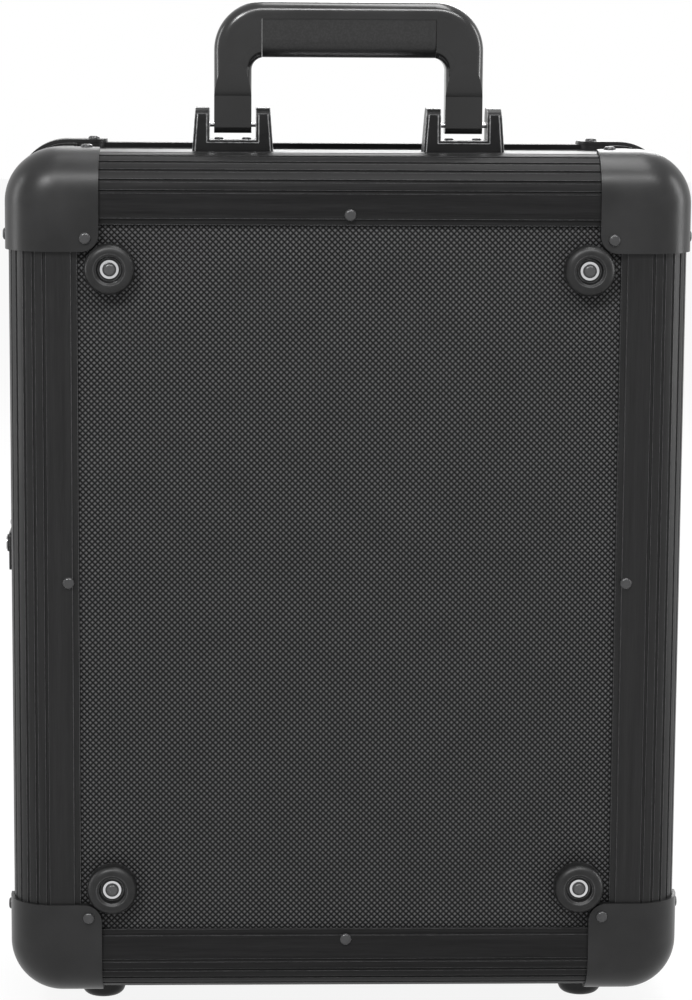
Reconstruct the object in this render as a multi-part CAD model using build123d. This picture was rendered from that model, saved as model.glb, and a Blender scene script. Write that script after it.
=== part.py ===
from build123d import *
import os
from math import cos, radians, sin

# An upright flight case in black: two framed half shells that meet at a vertical seam, hinged at the
# right and latched at the left, with a folding carry handle on top.
# Millimetres. +X is to the right, +Y runs from the padded face towards the lid, +Z is up.
# The origin lies on the floor, in the middle of the case's width and of its overall depth.

# Driving sizes of the two shells, measured over the edge rails.
case_width = 380.0
case_height = 480.0
base_depth = 95.0
lid_depth = 65.0
floor_clearance = 14.0
seam_gap = 0.4

# Edge rails: a ribbed quarter round with a flange on each board.
rail_radius = 24.0
rail_wall = 3.0
face_flange = 15.0
side_flange = 8.0
inner_leg = 1.5
step_width = 3.5
step_depth = 1.2
groove_count = 6
groove_radius = 0.9
groove_first = 8.0
groove_last = 82.0
rail_tuck = 10.0

# Boards, and the posts on the four edges that run from front to back.
board = 6.0
outline_radius = 28.0
post_leg = 34.0
post_gap = 2.0

# Seam profiles, with a tongue on the base that enters a groove in the lid.
base_seam_width = 10.0
lid_seam_width = 20.0
seam_leg_length = 10.0
tongue_inset = 2.0
tongue_width = 2.5
tongue_height = 2.2
tongue_clearance = 0.5

# Moulded corners.
corner_proud = 2.0
corner_fit = 0.15
corner_reach_x = 51.0
corner_reach_z = 54.0
corner_depth = 38.0
corner_lobe = 10.0

# Rivets, face pads and standing feet.
rivet_radius = 3.4
rivet_height = 1.7
corner_rivet_inset = 7.5
pad_radius = 14.0
pad_height = 10.0
pad_crown = 10.2
pad_flat = 1.4
pad_recess_radius = 6.5
pad_recess_depth = 4.6
pad_from_side = 57.0
pad_from_edge = 63.5
washer_radius = 5.2
washer_hole = 2.6
washer_thickness = 1.0
screw_radius = 3.9
screw_height = 2.4
foot_radius = 12.5
foot_round = 5.0
foot_from_side = 50.0
foot_inset = 14.0
foot_recess_radius = 5.0
foot_recess_depth = 4.0

# Foam lining.
foam_gap = 0.5
foam_floor = 12.0
foam_wall = 14.0
foam_wall_drop = 10.0
foam_lid = 18.0

# Carry handle and its brackets.
handle_spread = 130.0
handle_inset = 48.0
handle_rise = 86.0
arm_width = 21.0
arm_depth_low = 14.0
handle_depth = 26.0
bar_height = 31.0
bar_spine = 9.5
grip_length = 97.0
grip_depth = 25.0
grip_fit = 0.3
handle_outer_radius = 27.0
handle_inner_radius = 7.0
handle_edge = 7.0
arm_below_pin = 4.8
arm_flare_start = 16.0
arm_flare_end = 34.0
pivot_height = 17.5
pivot_radius = 1.6
running_clearance = 0.06
bracket_width_low = 46.0
bracket_width_high = 42.0
bracket_height = 27.0
bracket_depth = 22.0
bracket_slot = 26.0
slot_below_pin = 8.4
bracket_round = 6.0
bracket_hem = 1.6
bracket_hem_rise = 0.6
bracket_screw_radius = 2.6
bracket_screw_height = 1.0
plate_width = 69.0
plate_depth = 22.0
plate_thickness = 1.0
plate_corner = 3.0
plate_rivet_radius = 1.8
plate_rivet_height = 0.9

# Hinges on the right side.
hinge_length = 50.0
hinge_knuckles = 5
hinge_spread = 250.0
knuckle_radius = 2.6
hinge_pin_radius = 1.2
leaf_thickness = 1.2
leaf_width = 20.0
leaf_clearance = 0.3
leaf_hole_inset = 7.0
leaf_hole_spread = 17.0
leaf_rivet_radius = 2.4
leaf_rivet_height = 1.1

# Draw latch on the left side, with heights counted outward from the board's face.
latch_rise = 8.0
latch_sheet = 1.0
latch_plate_width = 28.0
latch_plate_near = 8.5
latch_plate_far = 40.0
latch_corner = 3.0
lever_pin_height = 4.2
lever_pin_back = 14.0
lever_pin_radius = 1.5
lever_knuckle_radius = 2.8
lever_knuckle_width = 14.0
lever_width = 22.0
lever_sheet = 1.5
lever_tail = 24.0
lever_neck = 3.2
ear_radius = 3.0
ear_sheet = 1.6
ear_clearance = 0.4
cheek_sheet = 1.5
cheek_near = 4.0
cheek_far = 10.0
cheek_drop = 2.0
bail_arm = 7.0
bail_wire = 1.1
bail_spread = 12.6
bail_reach = 30.0
bail_bow = 3.6
bail_bend = 1.5
bail_crown = 25.0
lock_offset = 4.0
lock_back = 16.0
lock_radius = 3.8
lock_boss_radius = 5.0
lock_boss_height = 1.3
lock_top = 8.6
lock_clearance = 0.1
key_slot_width = 0.9
key_slot_length = 5.0
key_slot_depth = 1.5
cam_length = 5.0
cam_width = 2.5
cam_thickness = 1.2
keeper_near = 3.0
keeper_far = 18.0
keeper_width = 24.0
crest_width = 20.0
crest_length = 5.0
crest_gap = 0.3
latch_rivet_radius = 1.7
latch_rivet_height = 1.1
latch_rivet_inset = 3.0

# Places worked out from the sizes above.
front_reach = pad_height - rail_wall
back_reach = corner_proud + rivet_height
face_y = (front_reach - base_depth - lid_depth - back_reach) / 2
seam_y = face_y + base_depth
back_y = seam_y + lid_depth
middle_z = floor_clearance + case_height / 2
board_face = case_width / 2 - rail_wall
board_top = case_height / 2 - rail_wall
board_inner = rail_wall + board
seam_inner = board_inner + inner_leg

parts_folder = "parts"


def block(low, high):
    """A box between two opposite corners."""
    size = [b - a for a, b in zip(low, high)]
    return Pos(*low) * Box(*size, align=(Align.MIN, Align.MIN, Align.MIN))


def group(solids):
    """Several separate solids kept in one node."""
    return Compound(children=[solid for piece in solids for solid in piece.solids()])


def shell_form(margin, depth):
    """One half shell's rounded outer form, grown by a margin, with its broad face at Y zero."""
    half_x = case_width / 2 + margin
    half_z = case_height / 2 + margin
    form = block((-half_x, -margin, -half_z), (half_x, depth, half_z))
    form = fillet(form.edges().filter_by(Axis.Y), outline_radius + margin)
    return fillet(form.faces().sort_by(Axis.Y)[0].edges(), rail_radius + margin)


def ring(inset_outer, inset_inner, near, far):
    """A frame with rounded corners that follows the case's outline between two depths."""
    outer = RectangleRounded(
        case_width - 2 * inset_outer, case_height - 2 * inset_outer, outline_radius - inset_outer
    )
    inner = RectangleRounded(
        case_width - 2 * inset_inner, case_height - 2 * inset_inner, outline_radius - inset_inner
    )
    frame = extrude(outer - inner, far - near)
    return Pos(0, far, 0) * Rot(90, 0, 0) * frame


def dome(radius, height):
    """A domed head that sits on a surface facing +Z."""
    head = Cylinder(radius, height, align=(Align.CENTER, Align.CENTER, Align.MIN))
    return fillet(head.edges().sort_by(Axis.Z)[-1], height * 0.94)


def facing_front(piece, x, z, y=0.0):
    return Pos(x, y, z) * Rot(90, 0, 0) * piece


def facing_side(piece, side, y, z, face=board_face):
    return Pos(side * face, y, z) * Rot(0, side * 90, 0) * piece


def facing_end(piece, end, x, y, face=board_top):
    return Pos(x, y, end * face) * Rot(0 if end > 0 else 180, 0, 0) * piece


def rail_profile():
    """The rail's section: the first axis runs in from the side face, the second in from the broad face."""
    across = rail_radius + face_flange
    down = rail_radius + side_flange
    full = Pos(across / 2, down / 2) * Rectangle(across, down)
    full = fillet(full.vertices().sort_by(Axis.X)[:2].sort_by(Axis.Y)[0], rail_radius)
    hollow = Pos(rail_wall + across / 2, rail_wall + down / 2) * Rectangle(across, down)
    hollow = fillet(hollow.vertices().sort_by(Axis.X)[:2].sort_by(Axis.Y)[0], rail_radius - rail_wall)
    face_leg = Pos((board_inner + across) / 2, board_inner + inner_leg / 2)
    face_leg *= Rectangle(across - board_inner, inner_leg)
    side_leg = Pos(board_inner + inner_leg / 2, (board_inner + down) / 2)
    side_leg *= Rectangle(inner_leg, down - board_inner)
    section = full - hollow + face_leg + side_leg
    section -= Pos(across - step_width / 2, step_depth / 2) * Rectangle(step_width, step_depth)
    for index in range(groove_count):
        angle = radians(groove_first + (groove_last - groove_first) * index / (groove_count - 1))
        centre = (rail_radius * (1 - cos(angle)), rail_radius * (1 - sin(angle)))
        section -= Pos(*centre) * Circle(groove_radius)
    return section


def rail(length):
    """A rail along local X, with its outer side at local Z zero and its broad face at Y zero."""
    run = extrude(rail_profile(), length / 2, both=True)
    plane = Plane(origin=(0, 0, 0), x_dir=(0, 0, -1), z_dir=(1, 0, 0))
    return plane * run


def shell_rails():
    """The four rails of one half shell, by name. They end inside the corners."""
    across = case_width - 2 * (corner_reach_x - rail_tuck)
    upright = case_height - 2 * (corner_reach_z - rail_tuck)
    return {
        "rail_top": Pos(0, 0, case_height / 2) * rail(across),
        "rail_bottom": Pos(0, 0, -case_height / 2) * Rot(0, 180, 0) * rail(across),
        "rail_left": Pos(-case_width / 2, 0, 0) * Rot(0, -90, 0) * rail(upright),
        "rail_right": Pos(case_width / 2, 0, 0) * Rot(0, 90, 0) * rail(upright),
    }


def shell_boards(depth, seam_width):
    """The broad board and the four side boards, by name. Their edges sit in the rails and the seam profile."""
    half_x = case_width / 2
    half_z = case_height / 2
    far = depth - seam_width
    run_x = half_x - outline_radius
    run_z = half_z - outline_radius
    return {
        "face_panel": block(
            (rail_radius - half_x, rail_wall, rail_radius - half_z),
            (half_x - rail_radius, board_inner, half_z - rail_radius),
        ),
        "top_panel": block(
            (-run_x, rail_radius, half_z - board_inner), (run_x, far, half_z - rail_wall)
        ),
        "bottom_panel": block(
            (-run_x, rail_radius, rail_wall - half_z), (run_x, far, board_inner - half_z)
        ),
        "left_panel": block(
            (rail_wall - half_x, rail_radius, -run_z), (board_inner - half_x, far, run_z)
        ),
        "right_panel": block(
            (half_x - board_inner, rail_radius, -run_z), (half_x - rail_wall, far, run_z)
        ),
    }


def shell_posts(depth, seam_width):
    """The four rounded posts on the edges that run from front to back."""
    near = rail_radius + side_flange + post_gap
    far = depth - seam_width
    outside = ring(0, rail_wall, near, far)
    inside = ring(rail_wall, board_inner, near, far)
    reach_x = case_width / 2 - post_leg
    reach_z = case_height / 2 - post_leg
    run_x = case_width / 2 - outline_radius
    run_z = case_height / 2 - outline_radius
    outside -= block((-reach_x, 0, -case_height), (reach_x, depth, case_height))
    outside -= block((-case_width, 0, -reach_z), (case_width, depth, reach_z))
    inside -= block((-run_x, 0, -case_height), (run_x, depth, case_height))
    inside -= block((-case_width, 0, -run_z), (case_width, depth, run_z))
    return group([outside + inside])


def seam_frame(depth, seam_width):
    """The profile round the seam: a band flush with the boards, and a leg behind them."""
    band = ring(rail_wall, seam_inner, depth - seam_width, depth - seam_gap / 2)
    leg = ring(board_inner, seam_inner, depth - seam_width - seam_leg_length, depth - seam_width)
    return band + leg


def hinge_notches(depth):
    """Room for the hinge knuckles at the right of the seam."""
    room = knuckle_radius + leaf_clearance
    return [
        block(
            (board_face - room, depth - room, z - hinge_length / 2 - leaf_clearance),
            (board_face + room, depth + room, z + hinge_length / 2 + leaf_clearance),
        )
        for z in (-hinge_spread / 2, hinge_spread / 2)
    ]


def base_seam_frame():
    """The base's seam profile, which carries the tongue."""
    inset = rail_wall + tongue_inset
    tongue = ring(inset, inset + tongue_width, base_depth - seam_gap, base_depth + tongue_height)
    return seam_frame(base_depth, base_seam_width) + tongue - hinge_notches(base_depth)


def lid_seam_frame():
    """The lid's seam profile, grooved for the tongue."""
    inset = rail_wall + tongue_inset - tongue_clearance
    width = tongue_width + 2 * tongue_clearance
    groove_depth = tongue_height + tongue_clearance
    groove = ring(inset, inset + width, lid_depth - groove_depth, lid_depth + seam_gap)
    return seam_frame(lid_depth, lid_seam_width) - groove - hinge_notches(lid_depth)


def corner_shell(depth):
    """The upper left moulded corner: a ball-ended shell over the rails, with a lobe on each flank."""
    half_x = case_width / 2
    half_z = case_height / 2
    inner_x = corner_reach_x - half_x
    inner_z = half_z - corner_reach_z
    region = block(
        (-half_x - 2 * corner_proud, -2 * corner_proud, inner_z),
        (inner_x, corner_depth, half_z + 2 * corner_proud),
    )
    tip = Vector(inner_x, corner_depth, inner_z)
    lobes = [
        edge
        for edge in region.edges()
        if min((vertex.center() - tip).length for vertex in edge.vertices()) < 0.01
    ]
    region = fillet(lobes, corner_lobe)
    hollow = shell_form(corner_fit, depth)
    flat_x = rail_radius + face_flange + corner_fit - half_x
    flat_z = half_z - rail_radius - face_flange - corner_fit
    side_y = rail_radius + side_flange + corner_fit
    post_x = post_leg + corner_fit - half_x
    post_z = half_z - post_leg - corner_fit
    hollow -= block((flat_x, -1, inner_z - 1), (inner_x + 1, rail_wall, flat_z))
    hollow -= block((post_x, side_y, board_top), (inner_x + 1, corner_depth + 1, half_z))
    hollow -= block((-half_x, side_y, inner_z - 1), (-board_face, corner_depth + 1, post_z))
    return region & shell_form(corner_proud, depth) - hollow


def shell_corners(depth):
    """The four moulded corners, by name, mirrored from one."""
    upper_left = corner_shell(depth)
    upper_right = mirror(upper_left, about=Plane.YZ)
    return {
        "corner_top_left": upper_left,
        "corner_top_right": upper_right,
        "corner_bottom_left": mirror(upper_left, about=Plane.XY),
        "corner_bottom_right": mirror(upper_right, about=Plane.XY),
    }


def shell_rivets():
    """Rivets on the rails' face flanges, on each flank of the corners and on the side flanges."""
    half_x = case_width / 2
    half_z = case_height / 2
    head = dome(rivet_radius, rivet_height)
    flange_mid = rail_radius + face_flange / 2 + step_width / 2
    corner_x = half_x - corner_reach_x + corner_rivet_inset
    corner_z = half_z - corner_reach_z + corner_rivet_inset
    flank_y = corner_depth - corner_rivet_inset
    rivets = []
    for side in (-1, 1):
        rivets.append(facing_front(head, 0, side * (half_z - flange_mid)))
        rivets.append(facing_front(head, side * (half_x - flange_mid), 0))
        for end in (-1, 1):
            rivets.append(facing_front(head, side * corner_x, end * corner_z, -corner_proud))
            rivets.append(
                facing_end(head, end, side * corner_x, flank_y, half_z + corner_proud)
            )
            rivets.append(
                facing_side(head, side, flank_y, end * corner_z, half_x + corner_proud)
            )
    return rivets


def base_place(piece):
    """Moves a piece of the base from its shell's own frame to its place."""
    return Pos(0, face_y, middle_z) * piece


def lid_place(piece):
    """Mirrors a piece of the lid from its shell's own frame and moves it to its place."""
    return Pos(0, back_y, middle_z) * mirror(piece, about=Plane.XZ)


def shell_nodes(prefix, place, depth, seam_width):
    """The rails, boards, posts and corners of one half shell."""
    pieces = {**shell_rails(), **shell_boards(depth, seam_width), **shell_corners(depth)}
    pieces["corner_posts"] = shell_posts(depth, seam_width)
    return {f"{prefix}_{name}": place(piece) for name, piece in pieces.items()}


def face_pad():
    """A round rubber pad with a crowned rim and a recess for its screw, facing +Z."""
    side_top = (pad_radius, pad_height * 0.45)
    crest = (pad_crown, pad_height)
    shoulder = ((pad_radius + pad_crown) / 2 + 1.0, pad_height * 0.86)
    lip = (pad_crown - pad_flat, pad_height)
    recess_top = (pad_recess_radius + 1.0, pad_height - 1.0)
    recess_floor = pad_height - pad_recess_depth
    outline = Polyline((0, recess_floor), (0, 0), (pad_radius, 0), side_top)
    outline += ThreePointArc(side_top, shoulder, crest)
    outline += Polyline(crest, lip, recess_top, (pad_recess_radius, recess_floor), (0, recess_floor))
    return revolve(Plane.XZ * make_face(outline), Axis.Z)


def washer():
    """A flat ring that lies in a pad's recess."""
    sketch = Circle(washer_radius) - Circle(washer_hole)
    return extrude(sketch, washer_thickness)


def standing_foot():
    """A domed rubber foot that faces +Z, with a recess for its screw."""
    height = floor_clearance + rail_wall
    foot = Cylinder(foot_radius, height, align=(Align.CENTER, Align.CENTER, Align.MIN))
    foot = fillet(foot.edges().sort_by(Axis.Z)[-1], foot_round)
    recess = Cylinder(foot_recess_radius, foot_recess_depth, align=(Align.CENTER, Align.CENTER, Align.MIN))
    return foot - Pos(0, 0, height - foot_recess_depth) * recess


def pad_nodes():
    """The face pads with their washers and screws."""
    recess_y = -(pad_height - pad_recess_depth) + rail_wall
    pads, washers, screws = [], [], []
    spread = case_width / 2 - pad_from_side
    for x in (-spread, spread):
        for end in (-1, 1):
            z = end * (case_height / 2 - pad_from_edge)
            pads.append(facing_front(face_pad(), x, z, rail_wall))
            washers.append(facing_front(washer(), x, z, recess_y))
            head = dome(screw_radius, screw_height)
            screws.append(facing_front(head, x, z, recess_y - washer_thickness))
    return {
        "face_pads": base_place(group(pads)),
        "face_pad_washers": base_place(group(washers)),
        "face_pad_screws": base_place(group(screws)),
    }


def foot_nodes(prefix, place):
    """One shell's standing feet, just behind its corners, and their screws."""
    y = corner_depth + foot_inset
    seat = floor_clearance + rail_wall - foot_recess_depth
    feet, screws = [], []
    spread = case_width / 2 - foot_from_side
    for x in (-spread, spread):
        feet.append(facing_end(standing_foot(), -1, x, y))
        head = dome(screw_radius, screw_height)
        screws.append(facing_end(head, -1, x, y, board_top + seat))
    return {
        f"{prefix}_feet": place(group(feet)),
        f"{prefix}_foot_screws": place(group(screws)),
    }


def foam_nodes():
    """Foam pads: a floor and a wall lining in the base, and one pad in the lid."""
    edge = seam_inner + foam_gap
    half_x = case_width / 2 - edge
    half_z = case_height / 2 - edge
    floor = block((-half_x, edge, -half_z), (half_x, edge + foam_floor, half_z))
    wall_near = edge + foam_floor + foam_gap
    wall_far = base_depth - foam_wall_drop
    wall = block((-half_x, wall_near, -half_z), (half_x, wall_far, half_z))
    wall -= block(
        (foam_wall - half_x, 0, foam_wall - half_z), (half_x - foam_wall, base_depth, half_z - foam_wall)
    )
    lid_pad = block((-half_x, edge, -half_z), (half_x, edge + foam_lid, half_z))
    soften = outline_radius - edge
    return {
        "base_foam_floor": base_place(fillet(floor.edges().filter_by(Axis.Y), soften)),
        "base_foam_walls": base_place(
            fillet(wall.edges().filter_by(Axis.Y).sort_by_distance((0, 0, 0))[-4:], soften)
        ),
        "lid_foam_pad": lid_place(fillet(lid_pad.edges().filter_by(Axis.Y), soften)),
    }


def handle_place(piece):
    """Moves a handle piece, drawn round its pivot axis, to the top board of the base."""
    return Pos(0, face_y + handle_inset, middle_z + board_top + pivot_height) * piece


def bracket():
    """A clevis bracket, drawn round the pivot, with raised hems round both trapezoid faces."""
    low = -pivot_height
    high = bracket_height - pivot_height
    profile = make_face(
        Polyline(
            (-bracket_width_low / 2, low),
            (bracket_width_low / 2, low),
            (bracket_width_high / 2, high),
            (-bracket_width_high / 2, high),
            close=True,
        )
    )
    slot = Pos(0, (high - slot_below_pin) / 2) * Rectangle(bracket_slot, high + slot_below_pin)
    outline = profile - slot
    body = extrude(Plane.XZ * outline, bracket_depth / 2, both=True)
    ears = body.edges().filter_by(Axis.X).sort_by(Axis.Z)[-4:]
    body = fillet(ears, bracket_round)
    field = offset(outline, amount=-bracket_hem, kind=Kind.INTERSECTION)
    web = bracket_depth / 2 - bracket_hem_rise
    sunk = extrude(Plane.XZ * field, bracket_depth, both=True)
    sunk -= block((-bracket_width_low, -web, low), (bracket_width_low, web, high))
    body -= sunk
    bore = Rot(0, 90, 0) * Cylinder(pivot_radius, bracket_width_low)
    return body - bore


def handle_body():
    """The moulded handle: a round-shouldered loop whose arms thin towards the pivot."""
    outer_width = handle_spread + arm_width
    inner_width = handle_spread - arm_width
    top = handle_rise - pivot_height
    low = -arm_below_pin
    outer = Pos(0, (top + low) / 2) * Rectangle(outer_width, top - low)
    outer = fillet(outer.vertices().sort_by(Axis.Y)[-2:], handle_outer_radius)
    opening_top = top - bar_height
    opening = Pos(0, (opening_top + low) / 2) * Rectangle(inner_width, opening_top - low)
    opening = fillet(opening.vertices().sort_by(Axis.Y)[-2:], handle_inner_radius)
    loop = extrude(Plane.XZ * (outer - opening), handle_depth / 2, both=True)
    crown = [
        edge
        for edge in loop.edges()
        if abs(abs(edge.center().Y) - handle_depth / 2) < 0.01 and edge.center().Z > low + 1
    ]
    loop = fillet(crown, handle_edge)
    half_low = arm_depth_low / 2
    half_high = handle_depth / 2
    with BuildPart() as side:
        with BuildSketch(Plane.YZ):
            with BuildLine():
                Polyline((-half_low, 0), (-half_low, arm_flare_start))
                ThreePointArc(
                    (-half_low, arm_flare_start),
                    (-(half_low + half_high) / 2 - 1.0, (arm_flare_start + arm_flare_end) / 2 + 1.5),
                    (-half_high, arm_flare_end),
                )
                Polyline(
                    (-half_high, arm_flare_end), (-half_high, top), (half_high, top), (half_high, arm_flare_end)
                )
                ThreePointArc(
                    (half_high, arm_flare_end),
                    ((half_low + half_high) / 2 + 1.0, (arm_flare_start + arm_flare_end) / 2 + 1.5),
                    (half_low, arm_flare_start),
                )
                Polyline((half_low, arm_flare_start), (half_low, 0), (-half_low, 0))
            make_face()
        extrude(amount=outer_width, both=True)
    barrel = Rot(0, 90, 0) * Cylinder(half_low, 2 * outer_width)
    loop = loop & (side.part + barrel)
    grip_room = grip_length / 2 + grip_fit
    loop -= block(
        (-grip_room, -handle_depth, opening_top - 1), (grip_room, handle_depth, top - bar_spine)
    )
    bore = Rot(0, 90, 0) * Cylinder(pivot_radius + running_clearance, 2 * outer_width)
    return loop - bore


def grip():
    """The rubber grip that fills the handle's bar under its spine."""
    top = handle_rise - pivot_height - bar_spine
    bottom = handle_rise - pivot_height - bar_height
    body = block(
        (-grip_length / 2, -grip_depth / 2, bottom), (grip_length / 2, grip_depth / 2, top)
    )
    return fillet(body.edges().filter_by(Axis.X).sort_by(Axis.Z)[:2], grip_depth * 0.4)


def handle_nodes():
    """The handle, its grip, brackets, pins and screws."""
    nodes = {"handle_frame": handle_place(handle_body()), "handle_grip": handle_place(grip())}
    pins, screws = [], []
    for side, name in ((-1, "left"), (1, "right")):
        x = side * handle_spread / 2
        nodes[f"handle_bracket_{name}"] = handle_place(Pos(x, 0, 0) * bracket())
        pins.append(Pos(x, 0, 0) * Rot(0, 90, 0) * Cylinder(pivot_radius, bracket_width_high - 4))
        for way in (-1, 1):
            spot = (x + way * bracket_slot * 0.3, 0, -slot_below_pin)
            screws.append(Pos(*spot) * dome(bracket_screw_radius, bracket_screw_height))
    nodes["handle_pins"] = handle_place(group(pins))
    nodes["handle_bracket_screws"] = handle_place(group(screws))
    plate = extrude(RectangleRounded(plate_width, plate_depth, plate_corner), plate_thickness)
    nodes["name_plate"] = handle_place(Pos(0, 0, -pivot_height) * plate)
    heads = [
        Pos(way * (plate_width / 2 - 4), 0, plate_thickness - pivot_height)
        * dome(plate_rivet_radius, plate_rivet_height)
        for way in (-1, 1)
    ]
    nodes["name_plate_rivets"] = handle_place(group(heads))
    return nodes


def hinge_leaf(owner):
    """One leaf with its knuckles, drawn round the pin: owner 0 is the base's leaf and 1 the lid's."""
    way = -1 if owner == 0 else 1
    low = -hinge_length / 2
    near = knuckle_radius + leaf_clearance
    y_near, y_far = sorted((way * near, way * (near + leaf_width)))
    leaf = block((0, y_near, low), (leaf_thickness, y_far, -low))
    step = hinge_length / hinge_knuckles
    bore = hinge_pin_radius + (running_clearance if owner else 0)
    for index in range(owner, hinge_knuckles, 2):
        start = low + index * step + (leaf_clearance / 2 if index else 0)
        height = step - leaf_clearance / 2 * (1 if index in (0, hinge_knuckles - 1) else 2)
        tube = Cylinder(knuckle_radius, height, align=(Align.CENTER, Align.CENTER, Align.MIN))
        y_in, y_out = sorted((way * 1.5, way * (near + 1)))
        strap = block((0, y_in, 0), (leaf_thickness, y_out, height))
        leaf += Pos(0, 0, start) * (tube + strap)
    return leaf - Cylinder(bore, 2 * hinge_length)


def hinge_nodes():
    """Two butt hinges on the right side."""
    leaves = {0: [], 1: []}
    rivets = {0: [], 1: []}
    pins = []
    for z in (-hinge_spread / 2, hinge_spread / 2):
        spot = Pos(board_face, seam_y, middle_z + z)
        pins.append(spot * Cylinder(hinge_pin_radius, hinge_length))
        for owner, way in ((0, -1), (1, 1)):
            leaves[owner].append(spot * hinge_leaf(owner))
            y = way * (knuckle_radius + leaf_clearance + leaf_width - leaf_hole_inset)
            for end in (-1, 1):
                head = Rot(0, 90, 0) * dome(leaf_rivet_radius, leaf_rivet_height)
                rivets[owner].append(spot * Pos(leaf_thickness, y, end * leaf_hole_spread) * head)
    nodes = {
        "base_hinge_leaves": group(leaves[0]),
        "lid_hinge_leaves": group(leaves[1]),
        "hinge_pins": group(pins),
    }
    return nodes, rivets


def latch_place(piece):
    """Moves a latch piece, drawn with +X outward and +Y towards the lid, to the left side."""
    turned = mirror(piece, about=Plane.YZ)
    return Pos(-board_face, seam_y, middle_z + latch_rise) * turned


def side_plate(near, far, width, thickness):
    """A rounded plate that lies on the board, between two distances from the seam."""
    plate = block((0, near, -width / 2), (thickness, far, width / 2))
    return fillet(plate.edges().filter_by(Axis.X), latch_corner)


def latch_base():
    """The latch's plate with the two ears that hold the lever's pin."""
    plate = side_plate(-latch_plate_far, -latch_plate_near, latch_plate_width, latch_sheet)
    for end in (-1, 1):
        z = end * (lever_knuckle_width / 2 + ear_clearance + ear_sheet / 2)
        ear = Pos(lever_pin_height, -lever_pin_back, z) * Cylinder(ear_radius, ear_sheet)
        ear += block(
            (0, -lever_pin_back - ear_radius, z - ear_sheet / 2),
            (lever_pin_height, ear_radius - lever_pin_back, z + ear_sheet / 2),
        )
        plate += ear
    pin_room = Cylinder(lever_pin_radius, latch_plate_width)
    return plate - Pos(lever_pin_height, -lever_pin_back, 0) * pin_room


def latch_lever():
    """The lever: a rolled knuckle, a plate with a lock boss, and the cheeks that carry the bail."""
    under = 1.0
    knuckle = Cylinder(lever_knuckle_radius, lever_knuckle_width)
    neck = block(
        (under, -lever_neck - 1, -lever_knuckle_width / 2), (under + lever_sheet, 0, lever_knuckle_width / 2)
    )
    plate = block(
        (under, -lever_tail, -lever_width / 2), (under + lever_sheet, -lever_neck, lever_width / 2)
    )
    plate = fillet(plate.edges().filter_by(Axis.X).sort_by(Axis.Y)[:2], latch_corner)
    lever = knuckle + neck + plate
    bail_bore = Pos(0, -bail_arm, 0) * Cylinder(bail_wire + running_clearance, 2 * lever_width)
    for end in (-1, 1):
        z_in, z_out = sorted((end * (lever_width / 2 - cheek_sheet), end * lever_width / 2))
        lever += block((-cheek_drop, -cheek_far, z_in), (under, -cheek_near, z_out))
    lock_spot = Pos(0, -lock_back, lock_offset)
    boss = Rot(0, 90, 0) * Cylinder(
        lock_boss_radius, lock_boss_height, align=(Align.CENTER, Align.CENTER, Align.MIN)
    )
    lever += lock_spot * Pos(under + lever_sheet, 0, 0) * boss
    lever -= lock_spot * Rot(0, 90, 0) * Cylinder(lock_radius + lock_clearance, 20)
    lever -= bail_bore
    lever -= Cylinder(lever_pin_radius + running_clearance, latch_plate_width)
    return Pos(lever_pin_height, -lever_pin_back, 0) * lever


def latch_bail():
    """The wire bail: two bowed arms, a bar over the keeper and two tips in the lever's cheeks."""
    start_y = -lever_pin_back - bail_arm
    end_y = start_y + bail_reach
    tip_in = lever_width / 2 - cheek_sheet
    low = lever_pin_height
    bow = (low + bail_bow, (start_y + end_y) / 2)
    route = FilletPolyline(
        (low, start_y, tip_in),
        (low, start_y, bail_spread),
        (*bow, bail_spread),
        (low, end_y, bail_spread),
        (low, end_y, -bail_spread),
        (*bow, -bail_spread),
        (low, start_y, -bail_spread),
        (low, start_y, -tip_in),
        radius=[bail_bend, bail_crown, bail_bend, bail_bend, bail_crown, bail_bend],
    )
    return sweep(Plane(origin=route @ 0, z_dir=route % 0) * Circle(bail_wire), path=route)


def lock_cylinder():
    """The lock's plug with its key slot outside and its cam inside."""
    cam_top = lever_pin_height + 0.6
    plug = Pos(cam_top, 0, 0) * Rot(0, 90, 0) * Cylinder(
        lock_radius, lock_top - cam_top, align=(Align.CENTER, Align.CENTER, Align.MIN)
    )
    plug -= block(
        (lock_top - key_slot_depth, -key_slot_width / 2, -key_slot_length / 2),
        (lock_top + 1, key_slot_width / 2, key_slot_length / 2),
    )
    plug += block(
        (cam_top - cam_thickness, -cam_width / 2, -cam_length), (cam_top, cam_width / 2, cam_width / 2)
    )
    return Pos(0, -lever_pin_back - lock_back, lock_offset) * plug


def latch_keeper():
    """The lid's keeper, whose round crest lies just under the bail's bar."""
    plate = side_plate(keeper_near, keeper_far, keeper_width, latch_sheet)
    bar_y = bail_reach - lever_pin_back - bail_arm
    crest_top = lever_pin_height - bail_wire - crest_gap
    crest = block(
        (0, bar_y - crest_length / 2, -crest_width / 2), (crest_top, bar_y + crest_length / 2, crest_width / 2)
    )
    return plate + fillet(crest.edges().filter_by(Axis.Z).sort_by(Axis.X)[-2:], crest_top * 0.6)


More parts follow.
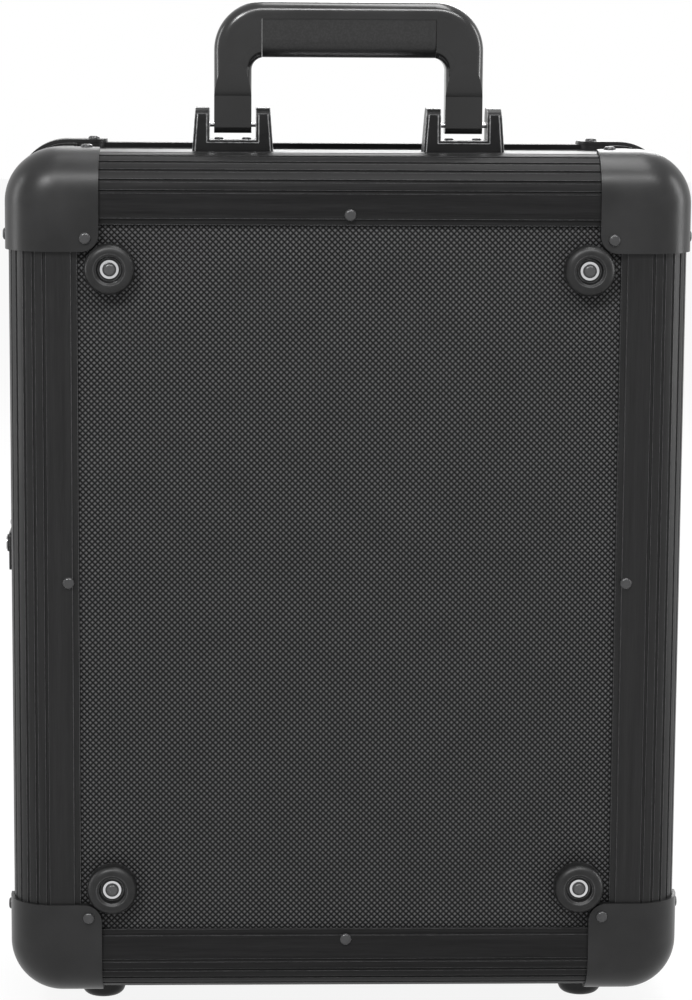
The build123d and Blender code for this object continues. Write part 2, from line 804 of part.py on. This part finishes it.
def latch_nodes():
    """The draw latch on the left side and its keeper on the lid."""
    pin_length = lever_knuckle_width + 2 * (ear_clearance + ear_sheet)
    pin = Pos(lever_pin_height, -lever_pin_back, 0) * Cylinder(lever_pin_radius, pin_length)
    head = Rot(0, 90, 0) * dome(latch_rivet_radius, latch_rivet_height)
    rivets = {0: [], 1: []}
    for end in (-1, 1):
        z = end * (latch_plate_width / 2 - latch_rivet_inset)
        for y in (-latch_plate_far + latch_rivet_inset, -latch_plate_near - latch_rivet_inset):
            rivets[0].append(latch_place(Pos(latch_sheet, y, z) * head))
        z = end * (keeper_width / 2 - latch_rivet_inset)
        spot = Pos(latch_sheet, keeper_far - latch_rivet_inset, z)
        rivets[1].append(latch_place(spot * head))
    nodes = {
        "latch_plate": latch_place(latch_base()),
        "latch_pin": latch_place(pin),
        "latch_lever": latch_place(latch_lever()),
        "latch_bail": latch_place(latch_bail()),
        "lock_cylinder": latch_place(lock_cylinder()),
        "latch_keeper": latch_place(latch_keeper()),
    }
    return nodes, rivets


def case_nodes():
    """Every node of the case, by name."""
    nodes = shell_nodes("base", base_place, base_depth, base_seam_width)
    nodes.update(shell_nodes("lid", lid_place, lid_depth, lid_seam_width))
    nodes["base_seam_frame"] = base_place(base_seam_frame())
    nodes["lid_seam_frame"] = lid_place(lid_seam_frame())
    nodes.update(pad_nodes())
    nodes.update(foot_nodes("base", base_place))
    nodes.update(foot_nodes("lid", lid_place))
    nodes.update(foam_nodes())
    nodes.update(handle_nodes())
    hinges, hinge_rivets = hinge_nodes()
    latch, latch_rivets = latch_nodes()
    nodes.update(hinges)
    nodes.update(latch)
    base_rivets = [base_place(rivet) for rivet in shell_rivets()]
    lid_rivets = [lid_place(rivet) for rivet in shell_rivets()]
    nodes["base_rivets"] = group(base_rivets + hinge_rivets[0] + latch_rivets[0])
    nodes["lid_rivets"] = group(lid_rivets + hinge_rivets[1] + latch_rivets[1])
    return nodes


os.makedirs(parts_folder, exist_ok=True)
for node_name, node_shape in case_nodes().items():
    export_step(node_shape, os.path.join(parts_folder, node_name + ".step"))
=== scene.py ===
import math

import bmesh
import bpy
from mathutils import Matrix, Vector


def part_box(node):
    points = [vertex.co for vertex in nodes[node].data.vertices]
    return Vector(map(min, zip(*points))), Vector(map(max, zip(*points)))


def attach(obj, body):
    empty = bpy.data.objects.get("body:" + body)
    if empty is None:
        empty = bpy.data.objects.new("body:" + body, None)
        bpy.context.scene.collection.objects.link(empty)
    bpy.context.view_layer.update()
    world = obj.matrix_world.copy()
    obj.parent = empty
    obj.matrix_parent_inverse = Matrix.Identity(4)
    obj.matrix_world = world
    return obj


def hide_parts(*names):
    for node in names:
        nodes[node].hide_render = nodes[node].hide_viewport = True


# A black flight case standing upright: finishes for every CAD node, the foam lining, and the studio.
# Metres, in the CAD frame: +X right, +Y from the padded face to the lid, +Z up.

MM = 0.001
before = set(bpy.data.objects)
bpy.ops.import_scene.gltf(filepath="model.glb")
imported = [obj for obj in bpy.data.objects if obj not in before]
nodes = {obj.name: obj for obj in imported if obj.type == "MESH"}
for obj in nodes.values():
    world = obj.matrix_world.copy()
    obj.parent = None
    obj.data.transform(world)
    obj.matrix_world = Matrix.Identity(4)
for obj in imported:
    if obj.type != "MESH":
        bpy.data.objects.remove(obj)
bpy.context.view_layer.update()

# Finish scales.
LATTICE_PITCH = 3.3 * MM
LATTICE_DEPTH = 0.6 * MM
GRAIN_PITCH = 0.55 * MM
BRUSH_PITCH = 0.35 * MM
FOAM_CELL = 0.9 * MM
VALLEY = 0.3
PEAK = 0.7
EDGE_SAMPLES = 4
EDGE_FLAT = 0.99
EDGE_SHARP = 0.80

# The foam lining.
FOAM_CORNER = 16 * MM
FOAM_ROLL = 5 * MM
FOAM_RIPPLE = 0.25 * MM
FOAM_WALL = 13.4 * MM
SLAB_INSET = 0.6 * MM
SLAB_COLUMNS = 96
SLAB_ROWS = 120
CREST_FADE = 12 * MM
WALL_INSET = 0.4 * MM
WALL_LIFT = 0.3 * MM
ROLL_STEPS = 6

# Camera, fitted to the photograph's frame of 692 by 1000.
CAMERA_PLACE = (-0.065, -1.9, 0.588)
CAMERA_YAW = 2.0
CAMERA_PITCH = 8.935
CAMERA_ROLL = 0.378
FOCAL_PER_HEIGHT = 3.2947
SENSOR_HEIGHT = 36.0


class Graph:
    """One material and short calls for its nodes. A value may be a number or another node's output."""

    def __init__(self, name):
        self.material = bpy.data.materials.new(name)
        self.material.use_nodes = True
        self.tree = self.material.node_tree
        self.shader = self.tree.nodes["Principled BSDF"]
        self.place = self.add("ShaderNodeTexCoord").outputs["Object"]

    def add(self, kind, **settings):
        node = self.tree.nodes.new(kind)
        for key, value in settings.items():
            setattr(node, key, value)
        return node

    def feed(self, socket, value):
        if isinstance(value, bpy.types.NodeSocket):
            self.tree.links.new(value, socket)
        else:
            socket.default_value = value

    def math(self, operation, first, second=0.0):
        node = self.add("ShaderNodeMath", operation=operation)
        self.feed(node.inputs[0], first)
        self.feed(node.inputs[1], second)
        return node.outputs[0]

    def axes(self):
        """The three object coordinates, in metres."""
        node = self.add("ShaderNodeSeparateXYZ")
        self.feed(node.inputs[0], self.place)
        return node.outputs

    def scaled(self, x, y, z):
        """The object coordinates, each multiplied by its own number."""
        node = self.add("ShaderNodeMapping")
        self.feed(node.inputs["Vector"], self.place)
        node.inputs["Scale"].default_value = (x, y, z)
        return node.outputs[0]

    def noise(self, pitch, detail=3.0, roughness=0.55, stretch=(1.0, 1.0, 1.0)):
        node = self.add("ShaderNodeTexNoise")
        self.feed(node.inputs["Vector"], self.scaled(*(part / pitch for part in stretch)))
        node.inputs["Scale"].default_value = 1.0
        node.inputs["Detail"].default_value = detail
        node.inputs["Roughness"].default_value = roughness
        return node.outputs[0]

    def cells(self, pitch):
        node = self.add("ShaderNodeTexVoronoi", feature="F1")
        self.feed(node.inputs["Vector"], self.scaled(1 / pitch, 1 / pitch, 1 / pitch))
        node.inputs["Scale"].default_value = 1.0
        return node.outputs[0]

    def remap(self, value, low, high, to_low, to_high):
        node = self.add("ShaderNodeMapRange")
        self.feed(node.inputs["Value"], value)
        names = ("From Min", "From Max", "To Min", "To Max")
        for name, number in zip(names, (low, high, to_low, to_high)):
            node.inputs[name].default_value = number
        return node.outputs[0]

    def spread(self, value, to_low, to_high):
        """A noise's usual range, stretched to two numbers."""
        return self.remap(value, VALLEY, PEAK, to_low, to_high)

    def tones(self, value, dark, light):
        """A colour between two, by a value from 0 to 1."""
        node = self.add("ShaderNodeMix", data_type="RGBA")
        self.feed(node.inputs["Factor"], value)
        node.inputs[6].default_value = (*dark, 1.0)
        node.inputs[7].default_value = (*light, 1.0)
        return node.outputs[2]

    def edge(self, radius):
        """1 on sharp edges, 0 on flats."""
        bevel = self.add("ShaderNodeBevel", samples=EDGE_SAMPLES)
        bevel.inputs["Radius"].default_value = radius
        plain = self.add("ShaderNodeNewGeometry")
        dot = self.add("ShaderNodeVectorMath", operation="DOT_PRODUCT")
        self.feed(dot.inputs[0], bevel.outputs[0])
        self.feed(dot.inputs[1], plain.outputs["Normal"])
        return self.remap(dot.outputs["Value"], EDGE_FLAT, EDGE_SHARP, 0.0, 1.0)

    def painted_edge_highlight(self, colour, radius, light, share=1.0):
        """The colour with a painted highlight on its sharp edges, stronger in some places than in others.
        """
        patches = self.remap(self.noise(3 * MM, 3.0), 0.35, 0.6, 0.45 * share, share)
        mix = self.add("ShaderNodeMix", data_type="RGBA")
        self.feed(mix.inputs["Factor"], self.math("MULTIPLY", self.edge(radius), patches))
        self.feed(mix.inputs[6], colour)
        mix.inputs[7].default_value = (*grey(light), 1.0)
        return mix.outputs[2]

    def bump(self, height, depth, strength=1.0):
        node = self.add("ShaderNodeBump")
        self.feed(node.inputs["Height"], height)
        node.inputs["Distance"].default_value = depth
        node.inputs["Strength"].default_value = strength
        return node.outputs[0]

    def finish(self, colour, roughness, normal=None, metallic=0.0, specular=0.5):
        self.feed(self.shader.inputs["Base Color"], colour)
        self.feed(self.shader.inputs["Roughness"], roughness)
        self.shader.inputs["Metallic"].default_value = metallic
        self.shader.inputs["Specular IOR Level"].default_value = specular
        if normal is not None:
            self.feed(self.shader.inputs["Normal"], normal)
        return self.material


def grey(value):
    """A neutral tone, very slightly cool."""
    return (value, value, value * 1.02)


def laminate(name, first, second, specular=0.08, dull=0.0):
    """Black laminate embossed with small diamonds in offset rows, in the plane of two axes."""
    g = Graph(name)
    axes = g.axes()
    u = g.math("DIVIDE", axes[first], LATTICE_PITCH)
    v = g.math("DIVIDE", axes[second], LATTICE_PITCH)
    rising = g.math("PINGPONG", g.math("ADD", u, v), 0.5)
    falling = g.math("PINGPONG", g.math("SUBTRACT", u, v), 0.5)
    pyramid = g.math("MULTIPLY", g.math("MINIMUM", rising, falling), 2.0)
    # The smooth maximum rounds the valleys between the diamonds.
    swell = g.math("SMOOTH_MAX", g.math("MINIMUM", pyramid, 0.72), 0.0)
    grain = g.noise(0.25 * MM, 2.0)
    height = g.math("ADD", swell, g.math("MULTIPLY", grain, 0.12))
    cloud = g.noise(26 * MM, 4.0)
    # Painted highlight and shade: the diamonds' crests are painted lighter and the valleys between them
    # darker, with a faint random cloud. The crests are also a little glossier.
    crest = g.remap(pyramid, 0.12, 0.8, 0.0, 1.0)
    crest_highlight = g.math("MULTIPLY", crest, g.spread(cloud, 0.92, 1.04))
    colour = g.tones(crest_highlight, grey(0.001), grey(0.074))
    flat = g.spread(cloud, 0.49 + dull, 0.45 + dull)
    rough = g.math("SUBTRACT", flat, g.math("MULTIPLY", crest, 0.08))
    return g.finish(colour, rough, g.bump(height, LATTICE_DEPTH, 1.0), specular=specular)


def anodised(name, stretch, base=0.006, light=0.012, specular=0.18):
    """Satin black anodised aluminium with fine lines along the profile."""
    g = Graph(name)
    lines = g.noise(BRUSH_PITCH, 3.0, 0.6, stretch)
    broad = g.noise(2.4 * MM, 2.0, 0.5, stretch)
    dust = g.noise(60 * MM, 4.0)
    mixed = g.math("ADD", g.math("MULTIPLY", lines, 0.6), g.math("MULTIPLY", broad, 0.4))
    colour = g.tones(g.remap(mixed, 0.35, 0.65, 0.0, 1.0), grey(base), grey(light))
    # Painted highlight: a lighter tone along the sharp edges of the ribs and steps stands in for the
    # light they catch.
    colour = g.painted_edge_highlight(colour, 0.45 * MM, 0.13, 0.8)
    rough = g.math("ADD", g.spread(lines, 0.33, 0.43), g.spread(dust, -0.03, 0.04))
    return g.finish(colour, rough, g.bump(lines, 0.02 * MM, 0.5), specular=specular)


def moulded(name, base=0.008, light=0.015, rough_low=0.30, rough_high=0.40, specular=0.24, grain=0.05):
    """Satin black moulding with a fine grain and faint rubbed patches."""
    g = Graph(name)
    pits = g.noise(GRAIN_PITCH, 3.0)
    cloud = g.noise(34 * MM, 5.0)
    colour = g.tones(g.spread(cloud, 0.0, 1.0), grey(base), grey(light))
    rough = g.math("ADD", g.spread(cloud, rough_low, rough_high), g.spread(pits, -0.03, 0.03))
    return g.finish(colour, rough, g.bump(pits, grain * MM, 0.6), specular=specular)


def painted(name, base, light, rough_low, rough_high, edge_radius, bright):
    """Dark painted metal with a painted highlight along its edges."""
    g = Graph(name)
    pits = g.noise(0.4 * MM, 3.0)
    cloud = g.noise(12 * MM, 4.0)
    plain = g.math("MULTIPLY", g.spread(cloud, 0.0, 1.0), 0.35)
    # Painted highlight: the edge mask lightens the sharp edges and hems.
    colour = g.painted_edge_highlight(g.tones(plain, grey(base), grey(light)), edge_radius, bright)
    rough = g.math("ADD", g.spread(cloud, rough_low, rough_high), g.spread(pits, -0.04, 0.04))
    return g.finish(colour, rough, g.bump(pits, 0.03 * MM, 0.5), metallic=0.1, specular=0.14)


def polished(name, base, rough, smudge=0.08, metallic=1.0, specular=0.5):
    """Polished or plated metal with faint smudges."""
    g = Graph(name)
    cloud = g.noise(5 * MM, 4.0)
    lines = g.noise(0.5 * MM, 2.0)
    colour = g.tones(g.spread(cloud, 0.0, 1.0), grey(base * 0.85), grey(base))
    rough = g.spread(cloud, rough, rough + smudge)
    return g.finish(colour, rough, g.bump(lines, 0.01 * MM, 0.3), metallic=metallic, specular=specular)


def brushed(name, base, rough, stretch):
    """A bright plate brushed along one axis."""
    g = Graph(name)
    lines = g.noise(0.22 * MM, 3.0, 0.6, stretch)
    colour = g.tones(g.spread(lines, 0.0, 1.0), grey(base * 0.8), grey(base))
    rough = g.spread(lines, rough, rough + 0.1)
    return g.finish(colour, rough, g.bump(lines, 0.02 * MM, 0.4), metallic=0.85)


def rubber(name, base=0.006, light=0.012, rough_low=0.34, rough_high=0.46, specular=0.26):
    """Matt black rubber with a painted highlight on its edges."""
    g = Graph(name)
    grit = g.noise(0.3 * MM, 3.0)
    cloud = g.noise(9 * MM, 4.0)
    colour = g.tones(g.spread(cloud, 0.0, 1.0), grey(base), grey(light))
    # Painted highlight: a lighter tone along the sharp edges of the pads and feet stands in for a ring of
    # light.
    colour = g.painted_edge_highlight(colour, 0.9 * MM, 0.16, 0.9)
    rough = g.remap(g.math("ADD", cloud, grit), 0.7, 1.3, rough_low, rough_high)
    return g.finish(colour, rough, g.bump(grit, 0.05 * MM, 0.5), specular=specular)


def grip_rubber():
    """The grip's soft rubber: a fine pebble over a dark body."""
    g = Graph("grip_rubber")
    pebble = g.cells(1.1 * MM)
    grit = g.noise(0.3 * MM, 2.0)
    height = g.math("SUBTRACT", g.math("MULTIPLY", grit, 0.3), pebble)
    # Painted shade: the grooves between the pebbles are darker than the pebbles' tops.
    colour = g.tones(g.remap(pebble, 0.1, 0.7, 0.0, 1.0), grey(0.012), grey(0.005))
    rough = g.spread(grit, 0.34, 0.42)
    return g.finish(colour, rough, g.bump(height, 0.04 * MM, 0.4), specular=0.4)


def foam_material():
    """Charcoal open-cell foam."""
    g = Graph("lining_foam")
    cells = g.cells(FOAM_CELL)
    grit = g.noise(0.5 * MM, 4.0)
    cloud = g.noise(40 * MM, 4.0)
    height = g.math("ADD", cells, g.math("MULTIPLY", grit, 0.5))
    tone = g.math("MULTIPLY", g.remap(cells, 0.05, 0.6, 1.0, 0.2), g.spread(cloud, 0.75, 1.0))
    colour = g.tones(tone, grey(0.014), grey(0.055))
    g.finish(colour, 0.95, g.bump(height, 0.25 * MM, 0.8), specular=0.2)
    g.shader.inputs["Sheen Weight"].default_value = 0.15
    g.shader.inputs["Sheen Roughness"].default_value = 0.5
    return g.material


ALONG_X = (0.02, 1.0, 1.0)
ALONG_Z = (1.0, 1.0, 0.02)

finishes = {
    "laminate_face": laminate("laminate_face", 0, 2),
    "laminate_top": laminate("laminate_top", 0, 1, 0.0, 0.3),
    "laminate_side": laminate("laminate_side", 2, 1),
    "rail_across": anodised("rail_across", ALONG_X, specular=0.08),
    "rail_upright": anodised("rail_upright", ALONG_Z),
    "seam": anodised("seam_profile", (0.3, 1.0, 0.3), 0.010, 0.018),
    "posts": anodised("corner_posts", (1.0, 0.05, 1.0)),
    "corner": moulded("corner_moulding"),
    "handle": moulded("handle_moulding", 0.005, 0.009, 0.16, 0.24, 0.42, 0.012),
    # For the painted metals the last two numbers are the width and the tone of the painted edge
    # highlight.
    "bracket": painted("bracket_metal", 0.008, 0.018, 0.28, 0.38, 0.8 * MM, 0.55),
    "latch": painted("latch_metal", 0.02, 0.05, 0.26, 0.36, 0.3 * MM, 0.45),
    "hinge": painted("black_hardware", 0.010, 0.022, 0.32, 0.42, 0.3 * MM, 0.25),
    "rivet": polished("dark_rivet", 0.05, 0.18, 0.08, 0.4, 0.3),
    "screw": polished("dark_screw", 0.06, 0.22, 0.08, 0.2, 0.25),
    "bright": polished("bright_steel", 0.62, 0.18),
    "plate": brushed("bright_plate", 0.80, 0.22, ALONG_X),
    "pad": rubber("rubber_pad"),
    "foot": rubber("rubber_foot"),
    "grip": grip_rubber(),
    "foam": foam_material(),
}


NAME_ENDINGS = (
    (("face_panel",), "laminate_face"),
    (("top_panel", "bottom_panel"), "laminate_top"),
    (("left_panel", "right_panel"), "laminate_side"),
    (("rail_top", "rail_bottom"), "rail_across"),
    (("rail_left", "rail_right"), "rail_upright"),
    (("seam_frame",), "seam"),
    (("corner_posts",), "posts"),
)

NODE_FINISHES = {
    "handle_frame": "handle",
    "handle_grip": "grip",
    "handle_bracket_left": "bracket",
    "handle_bracket_right": "bracket",
    "handle_bracket_screws": "screw",
    "name_plate": "plate",
    "name_plate_rivets": "screw",
    "base_hinge_leaves": "hinge",
    "lid_hinge_leaves": "hinge",
    "latch_plate": "latch",
    "latch_lever": "latch",
    "latch_keeper": "latch",
    "face_pads": "pad",
    "face_pad_screws": "screw",
    "base_feet": "foot",
    "lid_feet": "foot",
    "base_foot_screws": "screw",
    "lid_foot_screws": "screw",
    "base_rivets": "rivet",
    "lid_rivets": "rivet",
}


def finish_for(name):
    """The finish that a CAD node takes, from its own name. Pins, bail and lock are bright."""
    for endings, chosen in NAME_ENDINGS:
        if name.endswith(endings):
            return chosen
    if "_corner_" in name:
        return "corner"
    if "foam" in name:
        return "foam"
    return NODE_FINISHES.get(name, "bright")


def dress_nodes():
    for name, obj in nodes.items():
        obj.data.materials.clear()
        obj.data.materials.append(finishes[finish_for(name)])


dress_nodes()


def make_piece(name, points, faces, body, material):
    """A smooth mesh object that rides on a body."""
    mesh = bpy.data.meshes.new(name)
    mesh.from_pydata(points, [], faces)
    mesh.validate()
    mesh.update()
    for polygon in mesh.polygons:
        polygon.use_smooth = True
    obj = bpy.data.objects.new(name, mesh)
    bpy.context.scene.collection.objects.link(obj)
    obj.data.materials.append(material)
    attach(obj, body)
    return obj


def rounded_path(half_x, half_z, radius, arc_steps, run_steps):
    """Points round a rounded rectangle about the origin, with the outward direction at each."""
    path = []
    corners = ((1, 1, 0), (-1, 1, 90), (-1, -1, 180), (1, -1, 270))
    for index, (sx, sz, start) in enumerate(corners):
        centre = Vector((sx * (half_x - radius), sz * (half_z - radius)))
        for step in range(arc_steps + 1):
            angle = math.radians(start + 90 * step / arc_steps)
            out = Vector((math.cos(angle), math.sin(angle)))
            path.append((centre + out * radius, out))
        after = corners[(index + 1) % 4]
        nxt = Vector((after[0] * (half_x - radius), after[1] * (half_z - radius)))
        first, last = centre + out * radius, nxt + out * radius
        for step in range(1, run_steps):
            path.append((first.lerp(last, step / run_steps), out))
    return path


def foam_slab(name, node, body, top_way, crest, pitch_x, pitch_z):
    """A foam pad in its CAD solid's box: a soft-edged slab whose open face swells in rows of peaks."""
    low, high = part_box(node)
    inset = SLAB_INSET
    cols, rows = SLAB_COLUMNS, SLAB_ROWS
    size_x, size_z = high.x - low.x - 2 * inset, high.z - low.z - 2 * inset
    radius = FOAM_CORNER
    near, far = (low.y, high.y) if top_way > 0 else (high.y, low.y)
    thick = abs(far - near) - inset
    points, faces = [], []

    def spot(i, j):
        """Grid place, pulled in at the corners so that the outline is rounded."""
        x = (i / cols - 0.5) * size_x
        z = (j / rows - 0.5) * size_z
        over_x = abs(x) - (size_x / 2 - radius)
        over_z = abs(z) - (size_z / 2 - radius)
        if over_x > 0 and over_z > 0:
            reach = math.hypot(over_x, over_z)
            square = max(over_x, over_z)
            x -= math.copysign(over_x * (1 - square / reach), x)
            z -= math.copysign(over_z * (1 - square / reach), z)
        return x, z

    def edge_gap(x, z):
        """How far a place lies inside the rounded outline."""
        over_x = abs(x) - (size_x / 2 - radius)
        over_z = abs(z) - (size_z / 2 - radius)
        if over_x > 0 and over_z > 0:
            return radius - math.hypot(over_x, over_z)
        return min(size_x / 2 - abs(x), size_z / 2 - abs(z))

    rim = FOAM_ROLL
    for side in (0, 1):
        for j in range(rows + 1):
            for i in range(cols + 1):
                x, z = spot(i, j)
                gap = max(edge_gap(x, z), 0.0)
                fall = 1.0 - min(gap / rim, 1.0)
                drop = rim * (1 - math.sqrt(max(1 - fall * fall, 0.0)))
                height = 0.0
                if side:
                    flat = min(max((gap - rim) / CREST_FADE, 0.0), 1.0)
                    wave = math.cos(2 * math.pi * x / pitch_x) * math.cos(2 * math.pi * z / pitch_z)
                    height = thick - drop * 0.9 - crest * (0.5 - 0.5 * wave) * flat
                place = near + math.copysign(height + inset * 0.5, far - near)
                points.append(((low.x + high.x) / 2 + x, place, (low.z + high.z) / 2 + z))
    per_side = (cols + 1) * (rows + 1)

    def index(side, i, j):
        return side * per_side + j * (cols + 1) + i

    for j in range(rows):
        for i in range(cols):
            quad = [index(1, i, j), index(1, i + 1, j), index(1, i + 1, j + 1), index(1, i, j + 1)]
            faces.append(quad)
            faces.append([index(0, i, j + 1), index(0, i + 1, j + 1), index(0, i + 1, j), index(0, i, j)])
    border = [(i, 0) for i in range(cols)] + [(cols, j) for j in range(rows)]
    border += [(i, rows) for i in range(cols, 0, -1)] + [(0, j) for j in range(rows, 0, -1)]
    for a, b in zip(border, border[1:] + border[:1]):
        faces.append([index(0, *a), index(0, *b), index(1, *b), index(1, *a)])
    obj = make_piece(name, points, faces, body, finishes["foam"])
    fix_normals(obj)
    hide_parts(node)
    return obj


def fix_normals(obj):
    """Turns every face of a closed piece outward."""
    work = bmesh.new()
    work.from_mesh(obj.data)
    bmesh.ops.recalc_face_normals(work, faces=work.faces)
    work.to_mesh(obj.data)
    work.free()


def foam_walls():
    """The wall lining: a ring of foam with a soft rounded mouth and a slight ripple inside."""
    low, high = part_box("base_foam_walls")
    centre_x, centre_z = (low.x + high.x) / 2, (low.z + high.z) / 2
    half_x = (high.x - low.x) / 2 - WALL_INSET
    half_z = (high.z - low.z) / 2 - WALL_INSET
    outer = rounded_path(half_x, half_z, FOAM_CORNER, 10, 26)
    depth = high.y - low.y
    section = [(0.0, WALL_LIFT), (0.0, depth * 0.5)]
    for step in range(ROLL_STEPS + 1):
        angle = math.radians(90 * step / ROLL_STEPS)
        inward = FOAM_ROLL * (1 - math.cos(angle))
        section.append((inward, depth - FOAM_ROLL * (1 - math.sin(angle))))
    for step in range(ROLL_STEPS + 1):
        angle = math.radians(90 * step / ROLL_STEPS)
        inward = FOAM_WALL - FOAM_ROLL * (1 - math.sin(angle))
        section.append((inward, depth - FOAM_ROLL * (1 - math.cos(angle))))
    section += [(FOAM_WALL, depth * 0.5), (FOAM_WALL, WALL_LIFT)]
    points, faces = [], []
    count = len(section)
    for number, (spot, out) in enumerate(outer):
        for inward, y in section:
            ripple = FOAM_RIPPLE * math.sin(number * 0.9) * (inward / FOAM_WALL)
            place = spot - out * (inward + ripple)
            points.append((centre_x + place.x, low.y + y, centre_z + place.y))
    total = len(outer)
    for a in range(total):
        b = (a + 1) % total
        for k in range(count):
            n = (k + 1) % count
            faces.append([a * count + k, b * count + k, b * count + n, a * count + n])
    obj = make_piece("base_wall_lining", points, faces, "base", finishes["foam"])
    fix_normals(obj)
    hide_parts("base_foam_walls")


foam_slab("base_floor_lining", "base_foam_floor", "base", 1, 0.0, 30 * MM, 30 * MM)
foam_walls()
foam_slab("lid_convoluted_pad", "lid_foam_pad", "lid", -1, 8 * MM, 34 * MM, 34 * MM)


# Each lamp: name, place, width, height and watts.
LAMPS = (
    ("key", (-1.0, -1.7, 1.9), 0.5, 0.5, 34),
    ("strip", (0.3, -1.3, 2.0), 1.8, 0.25, 34),
    ("top", (0.3, 0.1, 2.2), 1.4, 0.5, 22),
    ("rim_left", (-1.9, 0.2, 0.7), 0.4, 1.6, 14),
    ("rim_right", (1.9, 0.1, 0.8), 0.4, 1.6, 20),
    ("back", (0.3, 2.2, 1.4), 1.0, 1.0, 20),
)
LAMP_AIM = (0, 0, 0.25)
FLOOR_SIZE = 16.0
FLOOR_DROP = 0.0002
FLOOR_WHITE = 0.9
WORLD_LIGHT = 0.35
WORLD_SEEN = 1.0


def area_light(name, place, aim, size_x, size_y, power):
    data = bpy.data.lights.new(name, "AREA")
    data.shape = "RECTANGLE"
    data.size = size_x
    data.size_y = size_y
    data.energy = power
    lamp = bpy.data.objects.new(name, data)
    lamp.location = place
    lamp.rotation_euler = (Vector(aim) - Vector(place)).to_track_quat("-Z", "Y").to_euler()
    bpy.context.scene.collection.objects.link(lamp)


def seen_directly(tree):
    """1 for rays from the camera and for those mirrored or let through by the object."""
    path = tree.nodes.new("ShaderNodeLightPath")
    value = path.outputs["Is Camera Ray"]
    for kind in ("Is Glossy Ray", "Is Transmission Ray"):
        highest = tree.nodes.new("ShaderNodeMath")
        highest.operation = "MAXIMUM"
        tree.links.new(value, highest.inputs[0])
        tree.links.new(path.outputs[kind], highest.inputs[1])
        value = highest.outputs[0]
    return value


def whiten(graph, share):
    """Mixes plain white into a stage material where it is seen directly. The rest keeps the shadow."""
    white = graph.add("ShaderNodeEmission")
    mix = graph.add("ShaderNodeMixShader")
    graph.feed(mix.inputs[0], graph.math("MULTIPLY", seen_directly(graph.tree), share))
    graph.feed(mix.inputs[1], graph.shader.outputs[0])
    graph.feed(mix.inputs[2], white.outputs[0])
    graph.feed(graph.tree.nodes["Material Output"].inputs["Surface"], mix.outputs[0])


def studio():
    """A pale floor, a white world and soft lamps."""
    bpy.ops.mesh.primitive_plane_add(size=FLOOR_SIZE, location=(0, 0, -FLOOR_DROP))
    floor = bpy.context.object
    floor.name = "studio_floor"
    g = Graph("studio_floor")
    cloud = g.noise(0.4, 3.0)
    colour = g.tones(g.spread(cloud, 0.0, 1.0), (0.93, 0.93, 0.93), (0.96, 0.96, 0.96))
    g.finish(colour, 0.9, specular=0.1)
    whiten(g, FLOOR_WHITE)
    floor.data.materials.append(g.material)

    world = bpy.data.worlds.new("studio_world")
    bpy.context.scene.world = world
    world.use_nodes = True
    tree = world.node_tree
    tree.nodes.clear()
    out = tree.nodes.new("ShaderNodeOutputWorld")
    lit = tree.nodes.new("ShaderNodeBackground")
    seen = tree.nodes.new("ShaderNodeBackground")
    lit.inputs["Color"].default_value = (1, 1, 1, 1)
    lit.inputs["Strength"].default_value = WORLD_LIGHT
    seen.inputs["Color"].default_value = (1, 1, 1, 1)
    seen.inputs["Strength"].default_value = WORLD_SEEN
    mix = tree.nodes.new("ShaderNodeMixShader")
    tree.links.new(seen_directly(tree), mix.inputs[0])
    tree.links.new(lit.outputs[0], mix.inputs[1])
    tree.links.new(seen.outputs[0], mix.inputs[2])
    tree.links.new(mix.outputs[0], out.inputs[0])

    for name, place, width, height, watts in LAMPS:
        area_light(name, place, LAMP_AIM, width, height, watts)


def camera():
    """The photograph's own viewpoint."""
    data = bpy.data.cameras.new("camera")
    data.sensor_fit = "VERTICAL"
    data.sensor_height = SENSOR_HEIGHT
    data.lens = FOCAL_PER_HEIGHT * SENSOR_HEIGHT
    obj = bpy.data.objects.new("camera", data)
    look = Matrix.Rotation(math.radians(-CAMERA_YAW), 4, "Z")
    look = look @ Matrix.Rotation(math.radians(90 - CAMERA_PITCH), 4, "X")
    look = look @ Matrix.Rotation(math.radians(CAMERA_ROLL), 4, "Z")
    obj.matrix_world = Matrix.Translation(CAMERA_PLACE) @ look
    bpy.context.scene.collection.objects.link(obj)
    bpy.context.scene.camera = obj


studio()
camera()
bpy.context.scene.view_settings.view_transform = "Standard"
